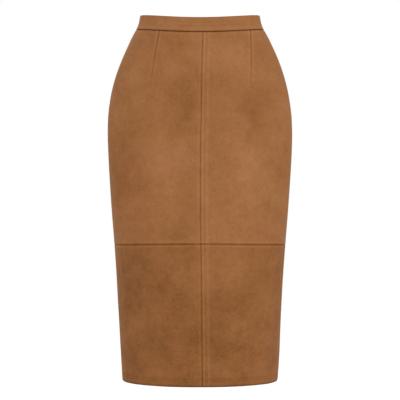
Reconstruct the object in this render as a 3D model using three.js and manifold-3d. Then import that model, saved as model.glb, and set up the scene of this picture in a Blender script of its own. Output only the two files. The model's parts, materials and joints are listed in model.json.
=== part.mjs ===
// A straight midi skirt in suede cloth, hollow and filled out as when it is worn, in millimetres.
// +Z is up, the front faces -Y and the wearer's left side is +X. The origin is the middle of the
// waist opening, level with the top of the waistband at the side seams.
// Two measures place every point of the cloth. "drop" is how far a level line of the cut lies below
// the waist top at the side. "round" counts quarters of the way round that line from the centre
// front: 1 is the wearer's left side, -1 the right side, and 2 and -2 are both the centre back.

import * as THREE from 'three';
import { mergeVertices } from 'three/addons/utils/BufferGeometryUtils.js';
import Module from 'manifold-3d';

const wasm = await Module();
wasm.setup();

// ---- Driving dimensions ----

const CLOTH = 1.5; // one layer of suede cloth
const HEM_LAYERS = 3.0; // the hem, turned up once
const HEM_TURN = 13; // height of the turned-up hem
const HEM_RAMP = 0.5; // height over which the wall thickens to two layers
const BAND_DEPTH = 28.7; // height of the waistband
const KNEE_SEAM = 457; // drop of the seam between upper and lower panels
const HEM = 726.6; // drop of the hem at the side

const SEAM_GAP = 0.3; // between neighbouring pieces
const ZIP_GAP = 1.4; // between the two edges of the zip opening
const ZIP_END = 205; // drop of the zip's lower end
const ZIP_CLOSES = 6; // length over which the opening narrows to a seam

const VENT_UNDERLAP = 36; // width of the back vent's underlap, past the centre back
const VENT_STEP = HEM_LAYERS + 0.4; // how far the underlap lies inside the outer surface
const VENT_EDGE = 0.6; // where the step has reached its full depth, short of the centre back
const VENT_SLOPE = 7; // where the step starts

const DART_CREASE = 0.8; // depth of a stitched dart's crease at its top
const DART_HALF = 3; // half the width of that crease

// The outer surface, a row for each level line. Half width is from the middle to the side, and the
// depths from the widest line to the centre front and the centre back. Corner is the exponent of
// the section's curve, 2 for an ellipse and more for a squarer one. Dip is how much lower the level
// line lies at the centre front than at the side.
const LEVELS = [
  { drop: 0, halfWidth: 119.5, frontDepth: 83, backDepth: 86, corner: 2.05, dip: 12.3 },
  { drop: 20, halfWidth: 124.0, frontDepth: 85, backDepth: 88.5, corner: 2.05, dip: 12.3 },
  { drop: 49, halfWidth: 138.7, frontDepth: 88, backDepth: 93.5, corner: 2.07, dip: 11.5 },
  { drop: 97, halfWidth: 159.8, frontDepth: 91, backDepth: 103, corner: 2.1, dip: 8.5 },
  { drop: 145, halfWidth: 174.8, frontDepth: 94, backDepth: 110, corner: 2.12, dip: 5.5 },
  { drop: 193, halfWidth: 182.6, frontDepth: 96.5, backDepth: 114, corner: 2.14, dip: 3 },
  { drop: 229, halfWidth: 184.3, frontDepth: 98, backDepth: 115, corner: 2.16, dip: 1.4 },
  { drop: 265, halfWidth: 183.6, frontDepth: 100, backDepth: 114.7, corner: 2.18, dip: 0 },
  { drop: 325, halfWidth: 180.4, frontDepth: 103, backDepth: 113.5, corner: 2.2, dip: -1.8 },
  { drop: 397, halfWidth: 175.8, frontDepth: 106, backDepth: 112.5, corner: 2.22, dip: -3.2 },
  { drop: 457, halfWidth: 171.0, frontDepth: 108, backDepth: 112, corner: 2.25, dip: -3.6 },
  { drop: 529, halfWidth: 165.7, frontDepth: 109.5, backDepth: 112, corner: 2.27, dip: -2.4 },
  { drop: 601, halfWidth: 161.8, frontDepth: 111, backDepth: 112, corner: 2.3, dip: -0.6 },
  { drop: 673, halfWidth: 158.6, frontDepth: 112.5, backDepth: 112.5, corner: 2.3, dip: 1.2 },
  { drop: HEM, halfWidth: 155.2, frontDepth: 113, backDepth: 113, corner: 2.3, dip: 2.3 },
];

// Where the seams run, measured round the level line: the centre front seam from the middle, towards
// the wearer's left, and each side seam forwards from the widest line.
const SEAM_LINES = [
  { drop: 0, centreFront: 6.3, leftForward: 0, rightForward: 0 },
  { drop: 97, centreFront: 3.8, leftForward: 0, rightForward: 0 },
  { drop: 193, centreFront: 2.5, leftForward: 3, rightForward: 4 },
  { drop: 265, centreFront: 1.2, leftForward: 12, rightForward: 16 },
  { drop: 397, centreFront: 1.0, leftForward: 29, rightForward: 37 },
  { drop: 457, centreFront: 1.8, leftForward: 33, rightForward: 42 },
  { drop: 529, centreFront: 2.9, leftForward: 33, rightForward: 43 },
  { drop: HEM, centreFront: 4.8, leftForward: 31, rightForward: 41 },
];

// Stitched darts from the waistband down to their tips, measured round from the centre line of
// their own panel's side of the skirt: front ones from the front, back ones from the back.
const DARTS = {
  front_left: { topAway: 103, tipAway: 101, tip: 145 },
  front_right: { topAway: 80, tipAway: 99, tip: 142 },
  back_left: { topAway: 78, tipAway: 84, tip: 158 },
  back_right: { topAway: 78, tipAway: 84, tip: 158 },
};

// The waistband's section: the cloth is folded over at the top. Offsets are from the outer surface.
const BAND_LAYERS = 2.8; // two layers of cloth and the stiffening between them
const BAND_SECTION = [
  { drop: 0, outer: -0.9, inner: -2.0 },
  { drop: 1.3, outer: 0, inner: -BAND_LAYERS },
  { drop: BAND_DEPTH / 2, outer: 0, inner: -BAND_LAYERS },
  { drop: BAND_DEPTH - SEAM_GAP / 2, outer: 0, inner: -BAND_LAYERS },
];

// The zip: woven tapes behind the opening, a slider between them and its pull tab outside.
const TAPE = 0.8;
const TAPE_WIDTH = 12; // from the middle of the opening to the tape's outer edge
const TAPE_TOP = 3;
const TAPE_OVERRUN = 10; // below the zip's lower end
const SLIDER = { drop: 10, topWidth: 6.4, bottomWidth: 4.8, height: 9.5, shoulder: 1.9, depth: 2.4 };
const NECK = { width: 0.8, height: 4 };
const CROWN = { outerRadius: 2, innerRadius: 0.9 };
const HINGE_OUT = 1.35; // the pull's hinge line, outside the band's surface
const PULL = { length: 20, thickness: 0.8, barHalf: 0.45, window: 1.5, windowEnd: 3, rail: 1.2 };
const PULL_BLADE = { shoulderEnd: 3.4, waistEnd: 5, waist: 3, width: 6 };

// Steps across each kind of panel
const STEPS = { centreToDart: 5, dartToSide: 6, lower: 12, underlap: 3, bandFront: 24, bandBack: 12 };
const TAPE_STEPS = 2;
const CURVE_STEPS = 8; // chords in each arc of the zip's parts
const ARC_STEPS = 48; // chords used to measure a quarter of a level line
const MERGE_WITHIN = 1e-5; // points closer than this are one point
const SLOPE_DROP = 1; // distances either side of a point over which its slopes are taken
const SLOPE_ROUND = 0.01;

// ---- Materials ----

const suede = new THREE.MeshStandardMaterial({ color: 0x9c6741, roughness: 0.95, metalness: 0 });
const tapeWeave = new THREE.MeshStandardMaterial({ color: 0x8f6038, roughness: 0.9, metalness: 0 });
const lacquered = new THREE.MeshStandardMaterial({ color: 0x8a5a34, roughness: 0.45, metalness: 0.3 });

// ---- Measuring along the cloth ----

// A smooth curve through one column of a table, read at any drop.
function readTable(table, column, drop) {
  const last = table.length - 1;
  let row = 0;
  while (row < last - 1 && drop > table[row + 1].drop) row += 1;
  const slopeAt = (i) => {
    const before = table[Math.max(i - 1, 0)];
    const after = table[Math.min(i + 1, last)];
    return (after[column] - before[column]) / (after.drop - before.drop);
  };
  const start = table[row];
  const end = table[row + 1];
  const span = end.drop - start.drop;
  const t = THREE.MathUtils.clamp((drop - start.drop) / span, 0, 1);
  const rise = t * t * (3 - 2 * t);
  const startPull = t * (1 - t) * (1 - t) * span * slopeAt(row);
  const endPull = t * t * (t - 1) * span * slopeAt(row + 1);
  return (1 - rise) * start[column] + rise * end[column] + startPull + endPull;
}

// A quarter of a level section: points from the centre line, front or back, to the side, each with
// its distance along the curve. The curve is |x / halfWidth|^corner + |y / depth|^corner = 1.
function quarterCurve(level, front) {
  const halfWidth = readTable(LEVELS, 'halfWidth', level);
  const depth = readTable(LEVELS, front ? 'frontDepth' : 'backDepth', level);
  const corner = readTable(LEVELS, 'corner', level);
  const points = [];
  let along = 0;
  for (let i = 0; i <= ARC_STEPS; i += 1) {
    const angle = ((i / ARC_STEPS) * Math.PI) / 2;
    const acrossPart = (Math.sin(angle) / halfWidth) ** corner;
    const depthPart = (Math.cos(angle) / depth) ** corner;
    const radius = (acrossPart + depthPart) ** (-1 / corner);
    const x = radius * Math.sin(angle);
    const y = radius * Math.cos(angle);
    if (i > 0) along += Math.hypot(x - points[i - 1].x, y - points[i - 1].y);
    points.push({ x, y, along });
  }
  return points;
}

// Length of a quarter of the level line, front or back
function quarterLength(drop, front) {
  return quarterCurve(drop, front)[ARC_STEPS].along;
}

// The point of the outer surface at a drop and a place round the skirt
function surfacePoint(round, drop) {
  const wrapped = THREE.MathUtils.euclideanModulo(round + 2, 4) - 2;
  const away = Math.abs(wrapped);
  const front = away <= 1;
  const frontness = front ? Math.cos((away * Math.PI) / 2) ** 1.5 : 0;
  const level = drop + readTable(LEVELS, 'dip', drop) * frontness;
  const curve = quarterCurve(level, front);
  const target = (front ? away : 2 - away) * curve[ARC_STEPS].along;
  let i = 1;
  while (i < ARC_STEPS && curve[i].along < target) i += 1;
  const share = (target - curve[i - 1].along) / (curve[i].along - curve[i - 1].along);
  const x = THREE.MathUtils.lerp(curve[i - 1].x, curve[i].x, share);
  const y = THREE.MathUtils.lerp(curve[i - 1].y, curve[i].y, share);
  return new THREE.Vector3(x * (wrapped < 0 ? -1 : 1), front ? -y : y, -level);
}

// The outward direction at a point of the surface: down the cloth crossed with along it
function surfaceNormal(round, drop) {
  const above = surfacePoint(round, Math.max(drop - SLOPE_DROP, 0));
  const below = surfacePoint(round, Math.min(drop + SLOPE_DROP, HEM));
  const before = surfacePoint(round - SLOPE_ROUND, drop);
  const after = surfacePoint(round + SLOPE_ROUND, drop);
  return below.sub(above).cross(after.sub(before)).normalize();
}

// A point of the cloth, moved out from the outer surface, or in if the offset is negative
function clothPoint(round, drop, offset) {
  return surfacePoint(round, drop).addScaledVector(surfaceNormal(round, drop), offset);
}

// Seam lines, as places round the skirt
const centreFront = (drop) => readTable(SEAM_LINES, 'centreFront', drop) / quarterLength(drop, true);
const leftSide = (drop) => 1 - readTable(SEAM_LINES, 'leftForward', drop) / quarterLength(drop, true);
const rightSide = (drop) => readTable(SEAM_LINES, 'rightForward', drop) / quarterLength(drop, true) - 1;

// Half the gap at the front and side seams
const frontGap = (drop) => SEAM_GAP / 2 / quarterLength(drop, true);

// Half the gap at the centre back, wider beside the zip
function backGap(drop) {
  const closing = THREE.MathUtils.clamp((drop - ZIP_END) / ZIP_CLOSES, 0, 1);
  return THREE.MathUtils.lerp(ZIP_GAP, SEAM_GAP, closing) / 2 / quarterLength(drop, false);
}

// The edges of the pieces, half a gap either side of the seam lines, named by the piece's side of the
// seam
const EDGES = {
  leftOfFront: (drop) => centreFront(drop) + frontGap(drop),
  rightOfFront: (drop) => centreFront(drop) - frontGap(drop),
  beforeLeftSide: (drop) => leftSide(drop) - frontGap(drop),
  behindLeftSide: (drop) => leftSide(drop) + frontGap(drop),
  beforeRightSide: (drop) => rightSide(drop) + frontGap(drop),
  behindRightSide: (drop) => rightSide(drop) - frontGap(drop),
  leftOfBack: (drop) => 2 - backGap(drop),
  rightOfBack: (drop) => backGap(drop) - 2,
};

// Evenly spread numbers from one value to another, both included
function spread(from, to, steps) {
  return Array.from({ length: steps + 1 }, (_, i) => THREE.MathUtils.lerp(from, to, i / steps));
}

// ---- Making solids ----

// A closed wall of cloth. placesAt gives the places round the skirt of a row's points, always as
// many, and offsetsAt the outer and inner offset of one of them.
function clothWall(name, material, drops, placesAt, offsetsAt) {
  const positions = [];
  const rows = drops.length;
  const columns = placesAt(drops[0]).length;
  for (const drop of drops) {
    placesAt(drop).forEach((round, column) => {
      const { outer, inner } = offsetsAt(drop, column);
      positions.push(...clothPoint(round, drop, outer), ...clothPoint(round, drop, inner));
    });
  }
  const outerIndex = (row, column) => 2 * (row * columns + column);
  const triangles = [];
  const face = (a, b, c, d) => triangles.push(a, b, c, a, c, d);
  for (let row = 0; row < rows - 1; row += 1) {
    for (let column = 0; column < columns - 1; column += 1) {
      const a = outerIndex(row, column);
      const b = outerIndex(row + 1, column);
      const c = outerIndex(row + 1, column + 1);
      const d = outerIndex(row, column + 1);
      face(a, b, c, d);
      face(d + 1, c + 1, b + 1, a + 1);
    }
  }
  const rim = [];
  for (let row = 0; row < rows - 1; row += 1) rim.push(outerIndex(row, 0));
  for (let column = 0; column < columns - 1; column += 1) rim.push(outerIndex(rows - 1, column));
  for (let row = rows - 1; row > 0; row -= 1) rim.push(outerIndex(row, columns - 1));
  for (let column = columns - 1; column > 0; column -= 1) rim.push(outerIndex(0, column));
  rim.forEach((here, i) => {
    const next = rim[(i + 1) % rim.length];
    face(next, here, here + 1, next + 1);
  });
  const geometry = new THREE.BufferGeometry();
  geometry.setAttribute('position', new THREE.Float32BufferAttribute(positions, 3));
  geometry.setIndex(triangles);
  geometry.computeVertexNormals();
  const mesh = new THREE.Mesh(geometry, material.clone());
  mesh.name = name;
  return mesh;
}

// A solid for joining, from a closed geometry
function toSolid(geometry) {
  const bare = geometry.clone();
  bare.deleteAttribute('normal');
  bare.deleteAttribute('uv');
  const merged = mergeVertices(bare, MERGE_WITHIN);
  const vertProperties = Float32Array.from(merged.attributes.position.array);
  const triVerts = Uint32Array.from(merged.index.array);
  return new wasm.Manifold(new wasm.Mesh({ numProp: 3, vertProperties, triVerts }));
}

function toGeometry(solid) {
  const made = solid.getMesh();
  const geometry = new THREE.BufferGeometry();
  geometry.setAttribute('position', new THREE.BufferAttribute(made.vertProperties, 3));
  geometry.setIndex(new THREE.BufferAttribute(made.triVerts, 1));
  geometry.computeVertexNormals();
  return geometry;
}

// ---- Panels ----

// Rows of the upper panels, with one on each side of the zip's lower end
const upperDrops = [
  ...spread(BAND_DEPTH + SEAM_GAP / 2, ZIP_END, 6),
  ...spread(ZIP_END + ZIP_CLOSES, KNEE_SEAM - SEAM_GAP / 2, 7),
];

// Rows of the lower panels, with a step in thickness where the hem is turned up
const lowerDrops = [
  ...spread(KNEE_SEAM + SEAM_GAP / 2, HEM - HEM_TURN - HEM_RAMP, 7),
  HEM - HEM_TURN,
  HEM,
];

// Thickness of a lower panel's wall at a drop
const layersAt = (drop) => (drop < HEM - HEM_TURN ? CLOTH : HEM_LAYERS);

// How deep a dart's crease is at a drop, as a share of its depth at the top: it fades as the square
// root of what is left of the dart
function creaseShare(dart, drop) {
  return THREE.MathUtils.clamp((dart.tip - drop) / (dart.tip - BAND_DEPTH), 0, 1) ** 0.5;
}

// An upper panel: cloth between two edges, creased along its dart. The dart is measured from the
// front or back centre line, at place, in the direction of the side seam.
function upperPanel(name, { dart, front, place, towardsSide, edges, steps }) {
  const dartPlace = (drop) => {
    const down = THREE.MathUtils.clamp((drop - BAND_DEPTH) / (dart.tip - BAND_DEPTH), 0, 1);
    const away = THREE.MathUtils.lerp(dart.topAway, dart.tipAway, down);
    const level = THREE.MathUtils.clamp(drop, BAND_DEPTH, dart.tip);
    return place + (towardsSide * away) / quarterLength(level, front);
  };
  const placesAt = (drop) => {
    const half = DART_HALF / quarterLength(drop, front);
    const line = dartPlace(drop);
    const before = spread(edges[0](drop), line - half, steps[0]);
    const after = spread(line + half, edges[1](drop), steps[1]);
    return [...before, line, ...after];
  };
  const offsetsAt = (drop, column) => {
    const sunk = column === steps[0] + 1 ? -DART_CREASE * creaseShare(dart, drop) : 0;
    return { outer: sunk, inner: sunk - CLOTH };
  };
  return clothWall(name, suede, upperDrops, placesAt, offsetsAt);
}

// A lower panel: cloth between two edges, doubled where the hem is turned up
function lowerPanel(name, firstEdge, lastEdge) {
  const placesAt = (drop) => spread(firstEdge(drop), lastEdge(drop), STEPS.lower);
  const offsetsAt = (drop) => ({ outer: 0, inner: -layersAt(drop) });
  return clothWall(name, suede, lowerDrops, placesAt, offsetsAt);
}

// The right back lower panel, which steps in at the centre back and runs on under the left one
function underlappingPanel(name) {
  const placesAt = (drop) => {
    const quarter = quarterLength(drop, false);
    const underlap = spread(-2 - VENT_UNDERLAP / quarter, -2 + VENT_EDGE / quarter, STEPS.underlap);
    const panel = spread(-2 + VENT_SLOPE / quarter, EDGES.behindRightSide(drop), STEPS.lower);
    return [...underlap, ...panel];
  };
  const offsetsAt = (drop, column) => {
    const outer = column <= STEPS.underlap ? -VENT_STEP : 0;
    return { outer, inner: outer - layersAt(drop) };
  };
  return clothWall(name, suede, lowerDrops, placesAt, offsetsAt);
}

// A piece of the waistband between two edges
function waistband(name, firstEdge, lastEdge, steps) {
  const placesAt = (drop) => spread(firstEdge(drop), lastEdge(drop), steps);
  const offsetsAt = (drop) => BAND_SECTION.find((row) => row.drop === drop);
  return clothWall(name, suede, BAND_SECTION.map((row) => row.drop), placesAt, offsetsAt);
}

// ---- The zip ----

// Rows of the tapes: three behind the band, then the rows of the panels that they are sewn to
const tapeDrops = [
  TAPE_TOP,
  BAND_DEPTH / 2,
  ...upperDrops.filter((drop) => drop <= ZIP_END),
  ZIP_END + TAPE_OVERRUN,
];

// One tape, on the wearer's left (side 1) or right (side -1) of the opening
function zipTape(name, side) {
  const placesAt = (drop) => {
    const quarter = quarterLength(drop, false);
    const aways = spread(TAPE_WIDTH, ZIP_GAP / 2, TAPE_STEPS);
    const places = aways.map((away) => side * (2 - away / quarter));
    return side > 0 ? places : places.reverse();
  };
  const offsetsAt = (drop) => {
    const behind = drop <= upperDrops[0] ? BAND_LAYERS : CLOTH;
    const outer = -behind - SEAM_GAP;
    return { outer, inner: outer - TAPE };
  };
  return clothWall(name, tapeWeave, tapeDrops, placesAt, offsetsAt);
}

// Lays a piece of the zip against the centre back: its own +Z points up the cloth and +Y out of it
function placeOnZip(geometry, material, name) {
  const normal = surfaceNormal(2, SLIDER.drop);
  const mesh = new THREE.Mesh(geometry, material.clone());
  mesh.position.copy(surfacePoint(2, SLIDER.drop));
  mesh.rotation.x = Math.atan2(normal.z, normal.y);
  mesh.name = name;
  return mesh;
}

// The slider: a shouldered body behind the tapes, and a thin neck that comes out between them and
// ends in a round crown with a hole for the pull
function zipSlider() {
  const half = SLIDER.height / 2;
  const bodyOutline = new THREE.Shape();
  bodyOutline.moveTo(-SLIDER.bottomWidth / 2, -half);
  bodyOutline.lineTo(SLIDER.bottomWidth / 2, -half);
  bodyOutline.lineTo(SLIDER.bottomWidth / 2, 0);
  bodyOutline.lineTo(SLIDER.topWidth / 2, SLIDER.shoulder);
  bodyOutline.lineTo(SLIDER.topWidth / 2, half);
  bodyOutline.lineTo(-SLIDER.topWidth / 2, half);
  bodyOutline.lineTo(-SLIDER.topWidth / 2, SLIDER.shoulder);
  bodyOutline.lineTo(-SLIDER.bottomWidth / 2, 0);
  bodyOutline.closePath();
  const bodyFace = -BAND_LAYERS - SEAM_GAP - TAPE - SEAM_GAP;
  const body = new THREE.ExtrudeGeometry(bodyOutline, { depth: SLIDER.depth, bevelEnabled: false });
  body.rotateX(Math.PI / 2);
  body.translate(0, bodyFace, 0);

  const neckEnd = bodyFace - SLIDER.depth / 2;
  const neckOutline = new THREE.Shape();
  neckOutline.moveTo(neckEnd, -NECK.height / 2);
  neckOutline.absarc(HINGE_OUT, 0, CROWN.outerRadius, -Math.PI / 2, Math.PI / 2, false);
  neckOutline.lineTo(neckEnd, NECK.height / 2);
  neckOutline.closePath();
  const hole = new THREE.Path();
  hole.absarc(HINGE_OUT, 0, CROWN.innerRadius, 0, 2 * Math.PI, true);
  neckOutline.holes.push(hole);
  const neckSettings = { depth: NECK.width, bevelEnabled: false, curveSegments: CURVE_STEPS };
  const neck = new THREE.ExtrudeGeometry(neckOutline, neckSettings);
  neck.translate(0, 0, -NECK.width / 2);
  // The outline was drawn with out as x and up as y, and pushed along z: turn it into place.
  neck.applyMatrix4(new THREE.Matrix4().makeBasis(
    new THREE.Vector3(0, 1, 0),
    new THREE.Vector3(0, 0, 1),
    new THREE.Vector3(1, 0, 0),
  ));
  return placeOnZip(toGeometry(toSolid(body).add(toSolid(neck))), lacquered, 'zip_slider');
}

// The pull tab: a flat drop that hangs on the crown by a bar, with a window for the crown
function zipPullTab() {
  const shoulder = PULL.window / 2 + PULL.rail;
  const { shoulderEnd, waistEnd, waist, width } = PULL_BLADE;
  const outline = new THREE.Shape();
  outline.moveTo(-shoulder, PULL.barHalf);
  outline.lineTo(-shoulder, -shoulderEnd);
  outline.lineTo(-waist / 2, -waistEnd);
  outline.absarc(0, width / 2 - PULL.length, width / 2, Math.PI, 2 * Math.PI, false);
  outline.lineTo(waist / 2, -waistEnd);
  outline.lineTo(shoulder, -shoulderEnd);
  outline.lineTo(shoulder, PULL.barHalf);
  outline.closePath();
  const window = new THREE.Path();
  window.moveTo(-PULL.window / 2, -PULL.barHalf);
  window.lineTo(-PULL.window / 2, -PULL.windowEnd);
  window.lineTo(PULL.window / 2, -PULL.windowEnd);
  window.lineTo(PULL.window / 2, -PULL.barHalf);
  window.closePath();
  outline.holes.push(window);
  const settings = { depth: PULL.thickness, bevelEnabled: false, curveSegments: CURVE_STEPS };
  const tab = new THREE.ExtrudeGeometry(outline, settings);
  tab.rotateX(Math.PI / 2);
  tab.translate(0, HINGE_OUT + PULL.thickness / 2, 0);
  return placeOnZip(toGeometry(toSolid(tab)), lacquered, 'zip_pull_tab');
}

// ---- The skirt ----

const outwards = [STEPS.centreToDart, STEPS.dartToSide];
const inwards = [STEPS.dartToSide, STEPS.centreToDart];

const skirt = new THREE.Group();
skirt.name = 'straight_skirt';

skirt.add(
  waistband('waistband_front', EDGES.beforeRightSide, EDGES.beforeLeftSide, STEPS.bandFront),
  waistband('waistband_back_left', EDGES.behindLeftSide, EDGES.leftOfBack, STEPS.bandBack),
  waistband('waistband_back_right', EDGES.rightOfBack, EDGES.behindRightSide, STEPS.bandBack),
);

skirt.add(
  upperPanel('front_upper_left', {
    dart: DARTS.front_left,
    front: true,
    place: 0,
    towardsSide: 1,
    edges: [EDGES.leftOfFront, EDGES.beforeLeftSide],
    steps: outwards,
  }),
  upperPanel('front_upper_right', {
    dart: DARTS.front_right,
    front: true,
    place: 0,
    towardsSide: -1,
    edges: [EDGES.beforeRightSide, EDGES.rightOfFront],
    steps: inwards,
  }),
  upperPanel('back_upper_left', {
    dart: DARTS.back_left,
    front: false,
    place: 2,
    towardsSide: -1,
    edges: [EDGES.behindLeftSide, EDGES.leftOfBack],
    steps: inwards,
  }),
  upperPanel('back_upper_right', {
    dart: DARTS.back_right,
    front: false,
    place: -2,
    towardsSide: 1,
    edges: [EDGES.rightOfBack, EDGES.behindRightSide],
    steps: outwards,
  }),
);

skirt.add(
  lowerPanel('front_lower_left', EDGES.leftOfFront, EDGES.beforeLeftSide),
  lowerPanel('front_lower_right', EDGES.beforeRightSide, EDGES.rightOfFront),
  lowerPanel('back_lower_left', EDGES.behindLeftSide, EDGES.leftOfBack),
  underlappingPanel('back_lower_right'),
);

skirt.add(zipTape('zip_tape_left', 1), zipTape('zip_tape_right', -1), zipSlider(), zipPullTab());

export default skirt;
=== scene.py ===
"""A straight midi skirt in suede cloth, hollow and filled out as when it is worn.

+Z is up, the front faces -Y and the wearer's left side is +X. Two measures place every point of the
cloth: "drop", how far a level line of the cut lies below the waist top at the side, in millimetres,
and "place", quarters of the way round that line from the centre front. 1 is the wearer's left side,
-1 the right side, and 2 and -2 are both the centre back.
"""

from __future__ import annotations

import json
import logging
import math
from collections.abc import Callable
from dataclasses import dataclass, field
from enum import Enum

import bpy
import numpy as np
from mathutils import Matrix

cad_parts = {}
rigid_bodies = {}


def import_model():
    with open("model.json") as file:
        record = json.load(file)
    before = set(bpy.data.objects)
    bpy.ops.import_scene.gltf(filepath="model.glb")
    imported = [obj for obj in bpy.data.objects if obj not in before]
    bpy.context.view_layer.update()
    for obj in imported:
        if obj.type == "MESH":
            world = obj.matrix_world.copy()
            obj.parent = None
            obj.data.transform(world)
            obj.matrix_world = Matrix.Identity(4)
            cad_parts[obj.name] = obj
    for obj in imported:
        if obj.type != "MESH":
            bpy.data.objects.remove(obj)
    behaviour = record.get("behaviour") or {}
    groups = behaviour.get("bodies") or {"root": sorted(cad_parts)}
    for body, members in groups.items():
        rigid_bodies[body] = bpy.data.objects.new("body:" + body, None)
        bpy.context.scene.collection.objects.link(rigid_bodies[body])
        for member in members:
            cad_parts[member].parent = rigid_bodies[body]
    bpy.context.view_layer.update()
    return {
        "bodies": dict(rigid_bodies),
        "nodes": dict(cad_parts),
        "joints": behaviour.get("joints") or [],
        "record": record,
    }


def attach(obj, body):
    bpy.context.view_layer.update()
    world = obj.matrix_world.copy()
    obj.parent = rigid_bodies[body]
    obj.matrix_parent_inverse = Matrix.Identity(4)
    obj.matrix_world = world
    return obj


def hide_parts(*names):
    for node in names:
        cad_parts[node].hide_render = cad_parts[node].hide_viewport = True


LOG = logging.getLogger("straight_skirt")
MM = 0.001

CLOTH = 1.5
HEM_LAYERS = 3.0
HEM_TURN = 13.0
BAND_DEPTH = 28.7
BAND_LAYERS = 2.8
KNEE_SEAM = 457.0
HEM = 726.6
SEAM_GAP = 0.3
ZIP_GAP = 1.4
ZIP_END = 205.0
ZIP_CLOSES = 6.0
VENT_UNDERLAP = 36.0
VENT_STEP = 3.4
VENT_EDGE = 0.6
VENT_SLOPE = 7.0
STRIKE_LINE = 8.0
MEAN_QUARTER = 228.0

ROW_STEP = 4.2
PLAIN_STEPS = 78
DART_STEPS = (40, 42)
BAND_STEPS = 130
BACK_BAND_STEPS = 64
TOP_FOLD = 1.4
ALLOWANCE_CLOTH = 0.8
ALLOWANCE_COLUMNS = 9
ROUND_COLUMNS = 150
ROUND_ROWS = 6
BAND_ROWS = np.linspace(2.4, 21.5, 15)
ALLOWANCE_BEHIND = 0.35
ROUND_BEHIND = 1.4

# Spindles: the ring's sides and its two halves, then where each ring lies and its radius
RING_SIDES = 6
RING_HALVES = ([0, 1, 2, 3], [0, 3, 4, 5])
STITCH_PITCH = 3.6
STITCH_ALONG = np.array([0.0, 0.5, 1.3, 2.1, 2.6])
STITCH_GIRTH = np.array([0.08, 0.26, 0.3, 0.26, 0.08])
COIL_TOP = 17.0
COIL_BEHIND = 0.9
COIL_ALONG = np.array([-1.5, -1.1, 1.1, 1.5])
COIL_GIRTH = np.array([0.12, 0.4, 0.4, 0.12])

# Distances from a seam at which a panel has its close-set rows and columns of points
NEAR_SEAM = np.array([0.0, 0.4, 0.9, 1.6, 2.5, 3.6, 5.0, 6.8])

PlaceLine = Callable[[np.ndarray], np.ndarray]


class Slot(Enum):
    """The finishes that a piece can be repainted by."""

    SUEDE = "suede_cloth"
    TAPE = "zip_tape"
    LACQUER = "zip_lacquer"


class Body(Enum):
    """The rigid body that the new pieces ride on; the pull tab keeps its own."""

    SKIRT = "skirt"


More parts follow.
